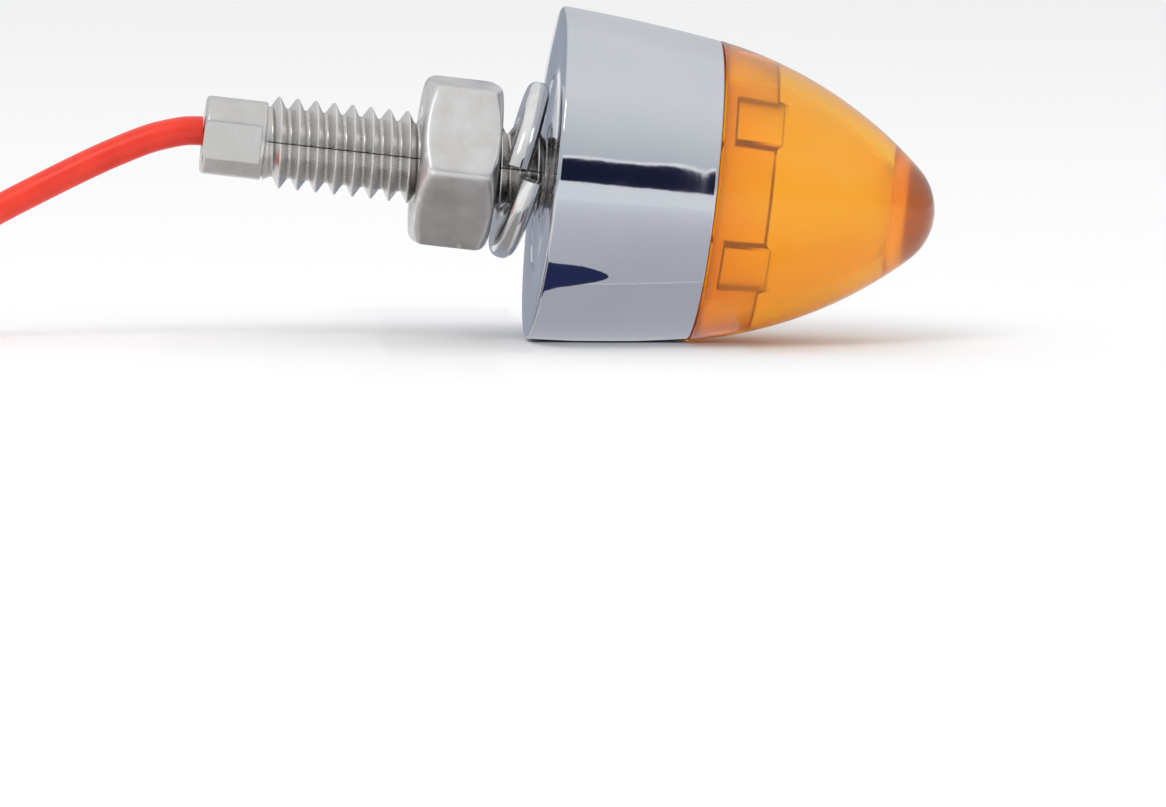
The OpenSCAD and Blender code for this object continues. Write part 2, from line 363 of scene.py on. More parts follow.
def make_tie():
    """A nylon tie: a band round the coil's turns, its locking head on top and the cut end of its tail."""
    head_size = (3.2, 3.6, 1.5)
    stub_size = (1.6, 2.1, 0.45)
    slack = 0.25
    inner, outer = COIL_INNER_R - LEAD_R - TIE_T / 2, COIL_OUTER_R + LEAD_R + TIE_T / 2
    low, high = TIE_T / 2, COIL_H + TIE_T / 2 + slack
    path = rounded([(inner, low, 1), (outer, low, 1), (outer, high, 1), (inner, high, 1)], 6)
    half_t, half_w, edge = TIE_T / 2 - 0.02, TIE_W / 2, 0.12
    section = rounded([(-half_t, -half_w, edge), (half_t, -half_w, edge),
                       (half_t, half_w, edge), (-half_t, half_w, edge)], 2)
    middle = Vector(((inner + outer) / 2, (low + high) / 2))
    rings = []
    for i, p in enumerate(path):
        p = Vector(p)
        along = (Vector(path[(i + 1) % len(path)]) - Vector(path[i - 1])).normalized()
        out = Vector((along.y, -along.x))
        if out.dot(p - middle) < 0:
            out = -out
        rings.append([(p.x + out.x * a, b, p.y + out.y * a) for a, b in section])
    band = skin(rings, closed=True)
    head_at = (inner + outer) / 2 + 0.6
    head = rounded_box((head_at, 0, high + 0.55), head_size, 0.3)
    stub = rounded_box((head_at - 2.0, 0, high + 0.75), stub_size, 0.12)
    turn = Matrix.Translation(Vector((*COIL_AT, 0)) * MM) @ Matrix.Rotation(math.radians(TIE_ANGLE), 4, "Z")
    piece = new_mesh("nylon_tie", joined(band, head, stub), turn)
    place(piece, "lamp", "tie_plastic", "coil_tie")
    return piece


def rounded_box(centre, size, radius):
    """A box with rounded edges, as rings up its height."""
    steps = 3
    half = [s / 2 for s in size]
    rings = []
    for k in range(2 * steps + 2):
        upper = k > steps
        a = math.radians(90 * ((k - 1 if upper else k) - steps) / steps)
        inset = radius * (1 - math.cos(a))
        z = math.copysign(half[2] - radius, 1 if upper else -1) + radius * math.sin(a)
        x, y, r = half[0] - inset, half[1] - inset, max(radius - inset, 0.01)
        outline = rounded([(-x, -y, r), (x, -y, r), (x, y, r), (-x, y, r)], 3)
        rings.append([(centre[0] + px, centre[1] + py, centre[2] + z) for px, py in outline])
    return skin(rings, caps=True)


# ---------------------------------------------------------------- housing, stud and hardware


def crowned_side():
    """The housing's slightly crowned side from back to front, never outside the CAD cone.

    A close pair of points at each end keeps the shading of the side flat right up to its edges.
    """
    steps = 16
    crown = 0.12
    close = 0.05
    first, last = RIM_ROUND, HOUSING_L - 0.25
    places = [first + (last - first) * i / steps for i in range(steps + 1)]
    places = places[:1] + [first + close] + places[1:-1] + [last - close, last]
    points = []
    for x in places:
        t = x / HOUSING_L
        points.append((x, BACK_R + (FRONT_R - BACK_R) * t - crown * (2 * t - 1) ** 2))
    return points


def make_housing():
    """Cast and polished shell with a rounded back edge, a rolled front rim and a spot face."""
    side = crowned_side()
    edge_r = side[0][1]
    hole_r = SHANK_R + 0.05
    back_edge = arc(RIM_ROUND, edge_r - RIM_ROUND, RIM_ROUND, 180, 94, 6)
    front_edge = arc(HOUSING_L - RIM_ROUND, side[-1][1] - RIM_ROUND, RIM_ROUND, 84, 0, 4)
    inside = rounded([(HOUSING_L, CAVITY_R, 0.15), (LEDGE_X, CAVITY_R), (LEDGE_X, LEDGE_R),
                      (BACK_WALL, LEDGE_R, 0.3), (BACK_WALL, hole_r),
                      (SPOT_FACE_DEPTH, hole_r, 0.15), (SPOT_FACE_DEPTH, SPOT_FACE_R, 0.05),
                      (0, SPOT_FACE_R + 0.05, 0.04), (0, edge_r - 0.3), (HOUSING_L, FRONT_R - 0.4)], 3)
    inside = inside[:-2]
    shape = turned(back_edge + side[1:-1] + front_edge + inside, 180)
    piece = new_mesh("chrome_housing", shape, sharp=50)
    place(piece, "lamp", "chrome", "housing")
    return piece


def thread_angles():
    """Angles of the columns round the stud, with three close ones at its fine scribed seam."""
    half_seam = 0.9
    even = [2.5 * k for k in range(144)]
    return sorted([a for a in even if a != SEAM_ANGLE]
                  + [SEAM_ANGLE - half_seam, SEAM_ANGLE, SEAM_ANGLE + half_seam])


def without_back_faces(points, faces, size):
    """A skin's points and faces, less the faces that join the last point of a ring to its first."""
    return points, [f for f in faces if max(f) % size - min(f) % size < size - 1]


def thread_strip(lo, hi):
    """The right-hand thread as one long strip, faded to a plain ring at both ends."""
    fade = 0.35
    half_crest = 0.08
    flank = (CREST_R - ROOT_R) * math.tan(math.radians(30))
    half = [(0, CREST_R), (half_crest * 0.5, CREST_R - 0.004), (half_crest, CREST_R - 0.04),
            (half_crest + flank - 0.04, ROOT_R + 0.06), (half_crest + flank + 0.03, ROOT_R + 0.006),
            (PITCH / 2, ROOT_R)]
    outline = [(-d, r) for d, r in reversed(half)] + half[1:]
    top_crest = -18.7
    first = top_crest - 3.25 * PITCH
    seam_depth = 0.2
    rings = []
    turns = math.ceil((hi - lo) / PITCH) + 5
    for turn in range(turns):
        for angle in thread_angles():
            ring = []
            for d, r in outline:
                x = first + PITCH * (turn + angle / 360) + d
                whole = smoothstep((x - lo) / fade) * smoothstep((hi - x) / fade)
                x = min(max(x, lo), hi)
                deep = seam_depth * whole if angle == SEAM_ANGLE else 0
                ring += around([(x, ROOT_R + (r - ROOT_R) * whole - deep)], angle)
            rings.append(ring)
    return without_back_faces(*skin(rings), len(outline))


def stud_ends(lo, hi):
    """Everything of the stud but its thread: plain tip with two flats, bore, flange and shank."""
    tip_round = 0.3
    soft = 0.1
    chamfer = 0.3
    flats_end = TIP_FLAT_L - STUD_L
    shaft = [(lo - 0.03, TIP_R - 0.06), (lo - soft, TIP_R), (flats_end, TIP_R)]
    tip = [(flats_end - 0.03, TIP_R), (tip_round - STUD_L, TIP_R)]
    tip += arc(tip_round - STUD_L, TIP_R - tip_round, tip_round, 90, 180, 5)[1:]
    bore = arc(-STUD_L + soft, STUD_BORE_R + soft, soft, 180, 270, 3) + [(FLANGE_X, STUD_BORE_R)]
    inside = [(FLANGE_X, FLANGE_R - soft), (FLANGE_X - soft, FLANGE_R), (BACK_WALL, FLANGE_R),
              (BACK_WALL, SHANK_R), (SPOT_FACE_DEPTH + chamfer, SHANK_R),
              (SPOT_FACE_DEPTH, SHANK_R - chamfer), (SPOT_FACE_DEPTH, ROOT_R + soft), (hi, ROOT_R)]
    flat_turn = math.radians(TIP_CLOCK)
    rings = []
    for angle in thread_angles():
        ring = around([(lo, ROOT_R)] + shaft, angle)
        for x, y, z in around(tip, angle):
            v = y * math.cos(flat_turn) + z * math.sin(flat_turn)
            over = v - min(max(v, -TIP_FLAT), TIP_FLAT)
            ring.append((x, y - over * math.cos(flat_turn), z - over * math.sin(flat_turn)))
        rings.append(ring + around(bore + inside, angle))
    return without_back_faces(*skin(rings, closed=True), len(rings[0]))


def make_stud():
    """Hollow stud, whose thread starts 0.4 mm nearer the tip than the CAD part's."""
    lo, hi = -THREAD_L - 0.4, -0.05
    piece = new_mesh("threaded_stud", joined(thread_strip(lo, hi), stud_ends(lo, hi)), sharp=35)
    place(piece, "lamp", "nickel_steel", "stud")
    return piece


def make_nut():
    """Hex nut with soft edges: the surface where a sum of powers of its planes' distances is one."""
    power = 46
    corner_r = 6.3
    corner_drop = 0.55
    face_r = 5.2
    outside_r = 6.4
    mouth = 0.45
    spacing = 0.12
    columns = 240
    chamfer = math.radians(30)
    chamfer_at = corner_r * math.sin(chamfer) + (NUT_HALF - corner_drop) * math.cos(chamfer)
    sides = [math.radians(30 + 60 * k + NUT_CLOCK) for k in range(6)]
    edge_r = NUT_BORE_R + mouth
    outer = [(-NUT_HALF, edge_r), (-NUT_HALF, face_r), (-NUT_HALF + corner_drop, outside_r),
             (NUT_HALF - corner_drop, outside_r), (NUT_HALF, face_r), (NUT_HALF, edge_r)]
    path = []
    for (x0, r0), (x1, r1) in zip(outer, outer[1:]):
        steps = math.ceil(math.hypot(x1 - x0, r1 - r0) / spacing)
        path += [(x0 + (x1 - x0) * i / steps, r0 + (r1 - r0) * i / steps) for i in range(steps)]
    path.append(outer[-1])
    bore = [(NUT_HALF - mouth, NUT_BORE_R), (mouth - NUT_HALF, NUT_BORE_R)]
    rings = []
    for i in range(columns):
        a = 2 * math.pi * i / columns
        ring = []
        for x, r in path:
            y, z = r * math.cos(a), r * math.sin(a)
            planes = [(y * math.cos(s) + z * math.sin(s)) / NUT_FLAT for s in sides]
            planes.append(abs(x) / NUT_HALF)
            planes.append((r * math.sin(chamfer) + abs(x) * math.cos(chamfer)) / chamfer_at)
            largest = max(planes)
            soft = largest * sum((max(p, 0) / largest) ** power for p in planes) ** (1 / power)
            ring.append((NUT_X + x / soft, y / soft, z / soft))
        for x, r in bore:
            ring.append((NUT_X + x, r * math.cos(a), r * math.sin(a)))
        rings.append(ring)
    piece = new_mesh("hex_nut", skin(rings, closed=True), sharp=50)
    place(piece, "nut", "nickel_steel", "mounting_nut")
    return piece


def make_washer():
    """Split spring washer: one coil of rounded bar, which leans more than the CAD part's plain ring."""
    gap = 7
    split = 180
    rise = 1.15
    lean = math.radians(9.9)
    inner_round = 0.45
    outer_round = 0.68
    steps = 110
    half_w, half_t = WASHER_W / 2, WASHER_T / 2
    section = rounded([(-half_t, -half_w, inner_round), (half_t, -half_w, inner_round),
                       (half_t, half_w, outer_round), (-half_t, half_w, outer_round)], 5)
    rings = []
    for i in range(steps + 1):
        t = i / steps
        angle = math.radians(split + gap / 2 + (360 - gap) * t)
        x = rise * (0.5 - t)
        ring = []
        for dx, dr in section:
            r = WASHER_R - half_w + dr
            px, y, z = x + dx, r * math.cos(angle), r * math.sin(angle)
            ring.append((WASHER_X + px * math.cos(lean) + z * math.sin(lean), y,
                         z * math.cos(lean) - px * math.sin(lean)))
        rings.append(ring)
    piece = new_mesh("split_lock_washer", skin(rings, caps=True))
    place(piece, "washer", "bright_washer", "lock_washer")
    return piece


# ---------------------------------------------------------------- lens and what it covers


def ogive(inset, start, end, steps):
    """Points (x, r) of the lens's side, or of a curve that lies inset inside it."""
    points = []
    for i in range(steps + 1):
        a = math.radians(start + (end - start) * i / steps)
        b = math.radians(BASE_ANGLE)
        points.append((LENS_X + OGIVE_R * (math.sin(a) - math.sin(b)) - inset * math.sin(a),
                       LENS_R - OGIVE_R * (math.cos(b) - math.cos(a)) - inset * math.cos(a)))
    return points


def nose(last, angle, steps):
    """Round nose that carries an ogive on smoothly from its last point to the axis."""
    radius = last[1] / math.cos(math.radians(angle))
    points = arc(last[0] - radius * math.sin(math.radians(angle)), 0, radius, 90 - angle, 0, steps)[1:]
    return points[:-1] + [(points[-1][0], 0)]


def dome(last, radius, steps):
    """Shallow dome that closes an outline from its last point to the axis."""
    half = math.degrees(math.asin(last[1] / radius))
    middle = last[0] - math.sqrt(radius ** 2 - last[1] ** 2)
    points = arc(middle, 0, radius, half, 0, steps)[1:]
    return points[:-1] + [(middle + radius, 0)]


def lens_outline(lug):
    """Closed outline of the lens's wall; lug is 1 at a moulded lug inside it and 0 between two lugs."""
    notch_extra = 0.3
    slope = 0.45
    soft = 0.1
    skirt_round = 0.15
    lip = 0.08
    skirt_x = LENS_X - SKIRT_L
    groove_x, groove_half, groove_r = LENS_X - 1.5, 0.55, SKIRT_R - 0.9
    outside = ogive(0, BASE_ANGLE, NOSE_ANGLE, 40)
    outside += nose(outside[-1], NOSE_ANGLE, 20)
    top = LUG_L + notch_extra * (1 - lug)
    bore = SKIRT_BORE_R + (NOTCH_R - SKIRT_BORE_R) * (1 - lug)
    start = math.degrees(math.asin((LUG_L + OGIVE_R * math.sin(math.radians(BASE_ANGLE)))
                                   / (OGIVE_R - LENS_WALL)))
    inside = ogive(LENS_WALL, start, CAVITY_END_ANGLE, 30)
    inside += dome(inside[-1], CAVITY_DOME_R, 20)
    step_x = LENS_X + top
    draft = slope * (inside[0][1] - bore)
    steps = [(step_x, inside[0][1]), (step_x - draft, bore), (LENS_X + NOTCH_X + 0.12, bore),
             (LENS_X + NOTCH_X, SKIRT_BORE_R + (bore - SKIRT_BORE_R) * 0.8),
             (LENS_X + NOTCH_X - 0.02, SKIRT_BORE_R)]
    skirt = [(skirt_x + soft, SKIRT_BORE_R), (skirt_x, SKIRT_BORE_R + soft),
             (skirt_x, SKIRT_R - skirt_round), (skirt_x + skirt_round, SKIRT_R),
             (groove_x - groove_half, SKIRT_R), (groove_x - groove_half, groove_r),
             (groove_x + groove_half, groove_r), (groove_x + groove_half, SKIRT_R),
             (LENS_X, SKIRT_R), (LENS_X, LENS_R - lip), (LENS_X + 0.06, LENS_R)]
    return skirt + outside[1:] + list(reversed(inside[2:])) + steps


def make_lens():
    """Bullet lens: thin amber wall with five lugs inside its base, and a nearly solid tip."""
    blend = 1.4
    half_step = 180 / LUGS
    one_side = [LUG_HALF_ANGLE + d for d in (9, 6, 4, blend, 0.7, 0, -0.7, -blend, -4, -8, -12, -16, -20)]
    offsets = [-a for a in one_side] + [0] + list(reversed(one_side)) + [half_step]
    rings = []
    for n in range(LUGS):
        middle = 180 + LUG_CLOCK + 2 * half_step * n
        for offset in offsets:
            lug = smoothstep((LUG_HALF_ANGLE + blend - abs(offset)) / (2 * blend))
            rings.append(around(lens_outline(lug), middle + offset))
    piece = new_mesh("amber_lens", skin(rings, closed=True), sharp=38)
    place(piece, "lens_unit", "amber_lens", "lens")
    return piece


def make_led_domes():
    """Clear resin domes over the three LED chips."""
    count = 3
    middle_at = 4.6
    radius = 1.5
    height = 0.5
    board_t = 1
    package_t = 0.9
    floor_x = LEDGE_X + board_t + package_t
    ball = (radius ** 2 + height ** 2) / (2 * height)
    spread = math.degrees(math.asin(radius / ball))
    cap = arc(floor_x + height - ball, 0, ball, spread, 0, 8)
    outline = [(floor_x, 0.0)] + cap[:-1] + [(floor_x + height, 0.0)]
    domes = []
    for n in range(count):
        a = math.radians(-90 + 360 / count * n)
        points, faces = turned(outline, 36)
        points = [(x, y + middle_at * math.cos(a), z + middle_at * math.sin(a)) for x, y, z in points]
        domes.append((points, faces))
    piece = new_mesh("led_resin_domes", joined(*domes))
    place(piece, "lamp", "led_phosphor", "led_domes")
    return piece


# ---------------------------------------------------------------- material helpers


class Look:
    """One node material: a Principled shader, its object coordinates in millimetres, and node shorthand."""

    def __init__(self, name, **constants):
        self.material = bpy.data.materials.new(name)
        self.material.use_nodes = True
        self.tree = self.material.node_tree
        self.shader = self.tree.nodes["Principled BSDF"]
        for socket, value in constants.items():
            self.shader.inputs[socket.replace("_", " ")].default_value = value
        self.bumps = None
        place_node = self.add("ShaderNodeTexCoord")
        scaled = self.add("ShaderNodeVectorMath", operation="SCALE")
        scaled.inputs["Scale"].default_value = 1 / MM
        self.link(place_node.outputs["Object"], scaled.inputs[0])
        self.where = scaled.outputs[0]

    def add(self, kind, **settings):
        """A new node with its settings."""
        made = self.tree.nodes.new(kind)
        for key, value in settings.items():
            setattr(made, key, value)
        return made

    def link(self, start, end):
        """Joins an output to an input."""
        self.tree.links.new(start, end)

    def about_axis(self):
        """Coordinates for marks that run round the axis, the place along it, and the distance from it."""
        apart = self.add("ShaderNodeSeparateXYZ")
        self.link(self.where, apart.inputs[0])
        flat = self.add("ShaderNodeCombineXYZ")
        self.link(apart.outputs[1], flat.inputs[0])
        self.link(apart.outputs[2], flat.inputs[1])
        size = self.add("ShaderNodeVectorMath", operation="LENGTH")
        self.link(flat.outputs[0], size.inputs[0])
        made = self.add("ShaderNodeCombineXYZ")
        self.link(apart.outputs[0], made.inputs[0])
        self.link(size.outputs["Value"], made.inputs[1])
        return made.outputs[0], apart.outputs[0], size.outputs["Value"]

    def noise(self, scale, detail=4.0, rough=0.5, where=None):
        """Noise from 0 to 1, with scale waves to a millimetre."""
        made = self.add("ShaderNodeTexNoise")
        made.inputs["Scale"].default_value = scale
        made.inputs["Detail"].default_value = detail
        made.inputs["Roughness"].default_value = rough
        self.link(where or self.where, made.inputs["Vector"])
        return made.outputs["Fac"]

    def ranged(self, value, low, high, from_low=0.3, from_high=0.7):
        """A value stretched from one range to another, and held at its ends."""
        made = self.add("ShaderNodeMapRange")
        made.inputs["From Min"].default_value = from_low
        made.inputs["From Max"].default_value = from_high
        made.inputs["To Min"].default_value = low
        made.inputs["To Max"].default_value = high
        self.link(value, made.inputs["Value"])
        return made.outputs["Result"]

    def times(self, a, b):
        """The product of two nodes' outputs."""
        made = self.add("ShaderNodeMath", operation="MULTIPLY")
        self.link(a, made.inputs[0])
        self.link(b, made.inputs[1])
        return made.outputs[0]

    def mixed(self, fac, first, second):
        """A colour between two, each a colour or another node's output."""
        made = self.add("ShaderNodeMix", data_type="RGBA")
        self.link(fac, made.inputs["Factor"])
        for socket, value in (("A", first), ("B", second)):
            end = next(s for s in made.inputs if s.name == socket and s.type == "RGBA")
            if isinstance(value, tuple):
                end.default_value = (*value, 1)
            else:
                self.link(value, end)
        return next(s for s in made.outputs if s.type == "RGBA")

    def colour(self, output):
        """Takes a node's output as the base colour."""
        self.link(output, self.shader.inputs["Base Color"])

    def roughness(self, output):
        """Takes a node's output as the roughness."""
        self.link(output, self.shader.inputs["Roughness"])

    def bump(self, height, strength, distance):
        """Adds a layer of bump, in millimetres of height, on top of the earlier ones."""
        made = self.add("ShaderNodeBump")
        made.inputs["Strength"].default_value = strength
        made.inputs["Distance"].default_value = distance * MM
        self.link(height, made.inputs["Height"])
        if self.bumps:
            self.link(self.bumps, made.inputs["Normal"])
        self.bumps = made.outputs["Normal"]
        self.link(self.bumps, self.shader.inputs["Normal"])

    def edges(self):
        """About 1 on convex edges and 0 elsewhere."""
        geometry = self.add("ShaderNodeNewGeometry")
        return self.ranged(geometry.outputs["Pointiness"], 0, 1, 0.52, 0.62)


def give(look, *pieces):
    """Gives each piece the look as its only material."""
    for piece in pieces:
        piece.data.materials.clear()
        piece.data.materials.append(look.material)


# ---------------------------------------------------------------- materials


def chrome_look():
    """Bluish chrome with faint smudges, a slight waviness and fine marks of the polishing wheel."""
    look = Look("polished_chrome", Metallic=1.0)
    smudge = look.noise(0.12, 5, 0.6)
    polish = look.noise(0.9, 3, 0.5)
    look.colour(look.mixed(look.ranged(smudge, 0, 1), (0.535, 0.56, 0.61), (0.575, 0.597, 0.64)))
    look.roughness(look.ranged(smudge, 0.035, 0.085))
    look.bump(polish, 0.35, 0.012)
    turned, _, _ = look.about_axis()
    look.bump(look.noise(9, 2, 0.5, turned), 0.12, 0.0012)
    return look


def nickel_look(name, dark, light, rough, grime_and_tip_shade):
    """Satin nickel with turning marks and bright edges; the last flag adds grime in the thread's roots and
    a painted shade that darkens the plain tip.
    """
    thread_end = -THREAD_L
    tip_start = -THREAD_L - 0.5
    look = Look(name, Metallic=1.0)
    turned, along, distance = look.about_axis()
    lines = look.noise(7, 3, 0.6, turned)
    grain = look.noise(6, 4, 0.6)
    clouds = look.noise(0.5, 5, 0.62)
    base = look.mixed(look.ranged(clouds, 0, 1), dark, light)
    base = look.mixed(look.edges(), base, (0.82, 0.815, 0.80))
    if grime_and_tip_shade:
        root = look.ranged(distance, 1, 0, ROOT_R, CREST_R)
        threaded = look.ranged(along, 0, 1, tip_start, thread_end)
        # Painted shade: the plain tip beyond the thread is darkened, mixed up to 0.18 of the way towards
        # near black.
        painted_tip_shade = look.ranged(along, 0.18, 0, tip_start, thread_end)
        base = look.mixed(painted_tip_shade, base, (0.1, 0.1, 0.1))
        grime = look.times(look.times(root, threaded), look.ranged(grain, 0.1, 0.48))
        base = look.mixed(grime, base, (0.22, 0.19, 0.16))
    look.colour(base)
    look.roughness(look.ranged(clouds, *rough))
    look.bump(lines, 0.3, 0.003)
    look.bump(grain, 0.15, 0.0015)
    return look


def washer_look():
    """Bright zinc plate, a little wavy."""
    look = Look("bright_zinc", Metallic=1.0)
    turned, _, _ = look.about_axis()
    clouds = look.noise(0.6, 4, 0.55)
    look.colour(look.mixed(look.ranged(clouds, 0, 1), (0.68, 0.68, 0.68), (0.78, 0.78, 0.78)))
    look.roughness(look.ranged(clouds, 0.10, 0.2))
    look.bump(look.noise(5, 3, 0.6, turned), 0.3, 0.006)
    look.bump(look.noise(1.6, 2, 0.5), 0.3, 0.02)
    return look


def amber_look():
    """Clear amber polycarbonate: a tinted surface, and a volume that darkens where the lens is thick."""
    look = Look("amber_lens", Transmission_Weight=0.95, IOR=1.5, Specular_IOR_Level=0.25)
    haze = look.noise(0.25, 4, 0.6)
    look.colour(look.mixed(look.ranged(haze, 0, 1), (1.0, 0.69, 0.025), (1.0, 0.75, 0.04)))
    look.roughness(look.ranged(haze, 0.16, 0.24))
    look.bump(look.noise(0.5, 2, 0.5), 0.2, 0.02)
    absorb = look.add("ShaderNodeVolumeAbsorption")
    absorb.inputs["Color"].default_value = (0.975, 0.78, 0.05, 1)
    absorb.inputs["Density"].default_value = 600
    output = look.tree.nodes["Material Output"]
    look.link(absorb.outputs[0], output.inputs["Volume"])
    return look


def plastic_look(name, dark, light, rough=(0.35, 0.5), grain=3.0, bump=0.01, **constants):
    """Moulded or cast matter: cloudy colour, uneven gloss and a fine grain."""
    look = Look(name, **constants)
    clouds = look.noise(grain * 0.15, 4, 0.55)
    look.colour(look.mixed(look.ranged(clouds, 0, 1), dark, light))
    look.roughness(look.ranged(clouds, *rough))
    look.bump(look.noise(grain, 4, 0.6), 0.3, bump)
    return look


def lead_look():
    """Soft red insulation with a slightly uneven skin."""
    look = plastic_look("red_insulation", (0.70, 0.018, 0.004), (0.82, 0.034, 0.010),
                        (0.3, 0.4), 2.2, 0.012)
    look.bump(look.noise(1.1, 2, 0.5), 0.35, 0.03)
    return look


def board_look():
    """Solder mask with lighter traces under it."""
    look = Look("solder_mask")
    cells = look.add("ShaderNodeTexVoronoi", feature="DISTANCE_TO_EDGE")
    cells.inputs["Scale"].default_value = 0.45
    look.link(look.where, cells.inputs["Vector"])
    trace = look.ranged(cells.outputs["Distance"], 1, 0, 0.05, 0.08)
    look.colour(look.mixed(trace, (0.01, 0.09, 0.035), (0.03, 0.2, 0.07)))
    look.roughness(look.ranged(look.noise(1.2), 0.25, 0.4))
    look.bump(trace, 0.4, 0.03)
    return look


def wire_look(name, dark, light):
    """Bare or tinned wire."""
    look = Look(name, Metallic=1.0)
    clouds = look.noise(1.5, 4, 0.6)
    look.colour(look.mixed(look.ranged(clouds, 0, 1), dark, light))
    look.roughness(look.ranged(clouds, 0.2, 0.42))
    look.bump(look.noise(6, 3, 0.6), 0.3, 0.006)
    return look


# ---------------------------------------------------------------- stage

# Heights of the plates over the floor, of those that lie over other plates, and of the lamp's middle.
FLOOR_GAP = 0.1
PLATE_GAP = 0.12
LAMP_HEIGHT = 11.6


def floor_material():
    """Matt pale paper."""
    material = bpy.data.materials.new("pale_floor")
    material.use_nodes = True
    shader = material.node_tree.nodes["Principled BSDF"]
    shader.inputs["Base Color"].default_value = (0.90, 0.90, 0.90, 1)
    shader.inputs["Roughness"].default_value = 0.6
    return material


def glowing(name, glow):
    """A material that only glows."""
    material = bpy.data.materials.new(name)
    material.use_nodes = True
    tree = material.node_tree
    tree.nodes.clear()
    source = tree.nodes.new("ShaderNodeEmission")
    source.inputs["Color"].default_value = (*glow, 1)
    output = tree.nodes.new("ShaderNodeOutputMaterial")
    tree.links.new(source.outputs[0], output.inputs["Surface"])
    return material


def stage_mesh(name, outline, material):
    """One flat face of the studio, which isn't a part of the object."""
    mesh = bpy.data.meshes.new(name)
    mesh.from_pydata([Vector(p) * MM for p in outline], [], [tuple(range(len(outline)))])
    mesh.materials.append(material)
    made = bpy.data.objects.new(name, mesh)
    SCENE.collection.objects.link(made)
    return made


def lying(x_low, x_high, y_low, y_high, z):
    """Corners of a level rectangle."""
    return [(x_low, y_low, z), (x_high, y_low, z), (x_high, y_high, z), (x_low, y_high, z)]


def standing(start, end, height):
    """Corners of an upright rectangle that stands on the floor from one (x, y) to another."""
    return [(*start, FLOOR_GAP), (*end, FLOOR_GAP), (*end, height), (*start, height)]


def make_floor():
    """A floor that reaches past the picture on every side."""
    half = 6000
    stage_mesh("floor", lying(-half, half, -half, half, 0), floor_material())


def make_plate(name, outline, glow):
    """A flat glowing plate that only reflections see."""
    plate = stage_mesh(name, outline, glowing(name, glow))
    plate.visible_camera = False
    plate.visible_diffuse = False
    plate.visible_transmission = False
    plate.visible_volume_scatter = False
    plate.visible_shadow = False
    return plate


def make_backlight(name, outline, glow):
    """A flat glowing plate that is seen only through the lens."""
    plate = make_plate(name, outline, glow)
    plate.visible_glossy = False
    plate.visible_transmission = True


def make_card(name, azimuth, distance, outline, glow):
    """A glowing card out in front. Its outline is in degrees (right, up) as seen from the lamp."""
    points = []
    for right, up in outline:
        a, e = math.radians(azimuth + right), math.radians(up)
        points.append((distance * math.sin(a), -distance * math.cos(a),
                       LAMP_HEIGHT + distance * math.tan(e)))
    make_plate(name, points, glow)


def make_area_light(name, place_at, size, power, mirrored=False):
    """A square soft light that points at the lamp; reflections see it only if it is mirrored."""
    data = bpy.data.lights.new(name, "AREA")
    data.size = size
    data.energy = power
    light = bpy.data.objects.new(name, data)
    light.location = place_at
    aim = LAMP.translation - Vector(place_at)
    light.rotation_mode = "QUATERNION"
    light.rotation_quaternion = aim.to_track_quat("-Z", "Y")
    light.visible_glossy = mirrored
    SCENE.collection.objects.link(light)


def make_world():
    """Soft white surroundings: brightest overhead, dimmest at the horizon and below it."""
    world = bpy.data.worlds.new("studio")
    SCENE.world = world
    world.use_nodes = True
    tree = world.node_tree
    coordinates = tree.nodes.new("ShaderNodeTexCoord")
    apart = tree.nodes.new("ShaderNodeSeparateXYZ")
    tree.links.new(coordinates.outputs["Generated"], apart.inputs[0])
    height = tree.nodes.new("ShaderNodeValToRGB")
    low, high = height.color_ramp.elements
    low.position = 0.0
    low.color = (0.60, 0.615, 0.64, 1)
    high.position = 0.85
    high.color = (1.0, 1.0, 1.0, 1)
    tree.links.new(apart.outputs[2], height.inputs[0])
    tree.links.new(height.outputs[0], tree.nodes["Background"].inputs["Color"])
    tree.nodes["Background"].inputs["Strength"].default_value = 1.0


def make_front_cards():
    """The dark card that makes the band along the housing, and its bright border behind it."""
    azimuth = 16.7
    distance = 300
    middle_up = 5.5
    dark = [(-9, -2.4), (-9.4, 1), (-9.4, 9), (-8.8, 12), (-6, 12.8), (3.4, 13.2), (6.2, 15), (7.7, 12),
            (7.8, 6), (6.8, -3)]
    border = [(right * 1.12, middle_up + (up - middle_up) * 1.22) for right, up in dark]
    make_card("dark_card", azimuth, distance, dark, (0.012, 0.014, 0.045))
    make_card("bright_card", azimuth, distance + 10, border, (1.2, 1.2, 1.2))


def make_front_plates():
    """Narrow plates in front of the lamp, each a little brighter than the one before it."""
    count = 32
    start = -10.2
    width = 1.25
    dimmest = 0.64
    rise = 0.011
    blue = 1.03
    for step in range(count):
        near = start - width * step
        level = dimmest + rise * step
        make_plate("front_plate", lying(-6, 22, near - width, near, FLOOR_GAP),
                   (level, level, level * blue))


def make_plates():
    """Plates on the floor and behind the lamp that set the greys of the chrome and the nickel."""
    fin = [(-4.5, -7.6), (-3, -13.4), (-0.5, -13.2), (1, -12.9), (2.3, -12.1), (2.9, -11.2),
           (2.2, -10.5), (0.7, -10), (-1, -9.5)]
    bluish = (0.36, 0.385, 0.45)
    make_plate("fin_plate", smooth_line([(x, y, PLATE_GAP + 0.02) for x, y in fin]), (0.03, 0.035, 0.11))
    make_plate("nut_plate", lying(-13, -4.8, -14, 7, FLOOR_GAP), (0.36, 0.34, 0.34))
    make_plate("thread_plate", lying(-28, -13, -14, 14, FLOOR_GAP), (0.63, 0.61, 0.61))
    make_plate("glow_plate", lying(-3, 12, -10, -1.5, PLATE_GAP), (0.60, 0.60, 0.64))
    make_front_plates()
    make_plate("back_plate", standing((-14, 30), (-2, 30), 26), bluish)
    make_plate("back_floor_plate", lying(-12, -2.2, 2, 30, PLATE_GAP), bluish)


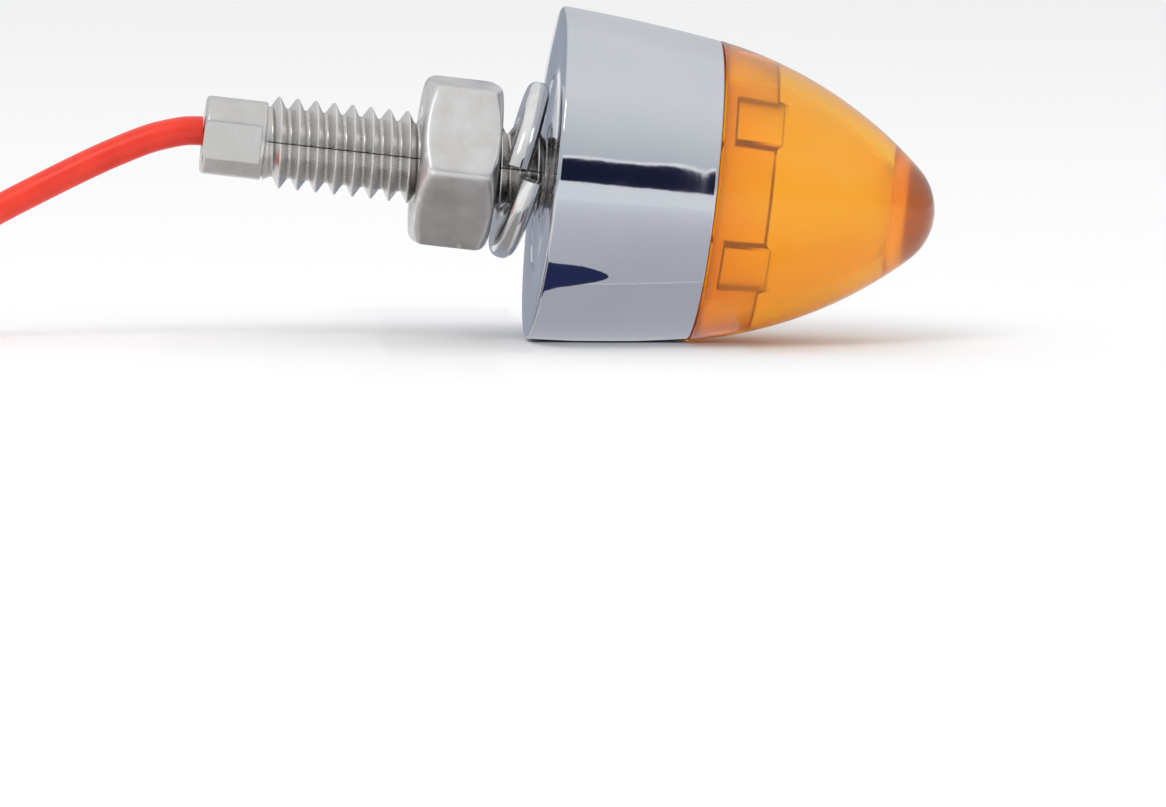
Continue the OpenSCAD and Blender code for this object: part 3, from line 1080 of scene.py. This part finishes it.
def make_backlights():
    """What the lens is seen against: a light table under it, and light walls behind and beside it."""
    warm = (1.05, 0.86, 0.8)
    cool = (1.12, 1.16, 1.05)
    height = 160
    make_backlight("light_table", lying(-5, 60, -16, 60, FLOOR_GAP), warm)
    make_backlight("light_wall", standing((-60, 60), (160, 60), height), cool)
    make_backlight("light_side", standing((75, -90), (75, 60), height), cool)


def make_stage():
    """Floor, surroundings, cards and lights."""
    SCENE.view_settings.view_transform = "Standard"
    SCENE.cycles.max_bounces = 24
    SCENE.cycles.glossy_bounces = 12
    SCENE.cycles.transmission_bounces = 24
    make_world()
    make_floor()
    make_front_cards()
    make_plates()
    make_backlights()
    make_area_light("key", (-0.35, -0.55, 0.75), 0.5, 2.3)
    make_area_light("sparkle", (-0.42, -0.50, 0.62), 0.3, 0.8, mirrored=True)
    make_area_light("fill", (0.6, -0.3, 0.35), 0.4, 0.6)


# ---------------------------------------------------------------- build


def main():
    """Builds the camera, the lead, the other pieces and the studio."""
    make_camera()
    lead, line = make_lead()
    strands = make_strands()
    tie = make_tie()

    housing = make_housing()
    stud = make_stud()
    nut = make_nut()
    washer = make_washer()
    lens = make_lens()
    domes = make_led_domes()

    give(chrome_look(), housing)
    give(nickel_look("nickel_stud", (0.60, 0.59, 0.575), (0.70, 0.69, 0.68), (0.22, 0.32), True), stud)
    give(nickel_look("nickel_nut", (0.58, 0.568, 0.555), (0.70, 0.695, 0.69), (0.28, 0.42), False), nut)
    give(washer_look(), washer)
    give(amber_look(), lens)
    give(lead_look(), lead, NODES["inner_lead"])
    give(wire_look("bare_copper", (0.62, 0.28, 0.15), (0.86, 0.48, 0.30)), strands, NODES["lead_core"])
    give(wire_look("tinned_wire", (0.62, 0.62, 0.62), (0.8, 0.8, 0.79)),
         NODES["ground_wire"], NODES["solder_joints"])
    give(plastic_look("black_nylon", (0.012, 0.012, 0.013), (0.03, 0.03, 0.032)), tie)
    give(plastic_look("seal_rubber", (0.01, 0.01, 0.01), (0.025, 0.025, 0.025), (0.5, 0.7)),
         NODES["lens_seal"])
    give(plastic_look("white_reflector", (0.80, 0.80, 0.77), (0.88, 0.88, 0.86), (0.2, 0.35)),
         NODES["reflector"])
    give(board_look(), NODES["circuit_board"])
    give(plastic_look("led_package", (0.72, 0.68, 0.58), (0.84, 0.81, 0.74)), NODES["led_bodies"])
    give(plastic_look("led_resin", (0.80, 0.52, 0.06), (0.93, 0.66, 0.12), (0.08, 0.2), 2, 0.006), domes)
    give(plastic_look("component_body", (0.02, 0.02, 0.02), (0.05, 0.05, 0.05)),
         NODES["resistors"], NODES["diode"])
    give(plastic_look("pressboard", (0.48, 0.36, 0.2), (0.62, 0.5, 0.32), (0.7, 0.9), 5, 0.02),
         NODES["insulator_disc"])
    give(plastic_look("grey_sealant", (0.12, 0.12, 0.125), (0.2, 0.2, 0.205), (0.4, 0.6)),
         NODES["bore_sealant"])

    make_stage()


main()
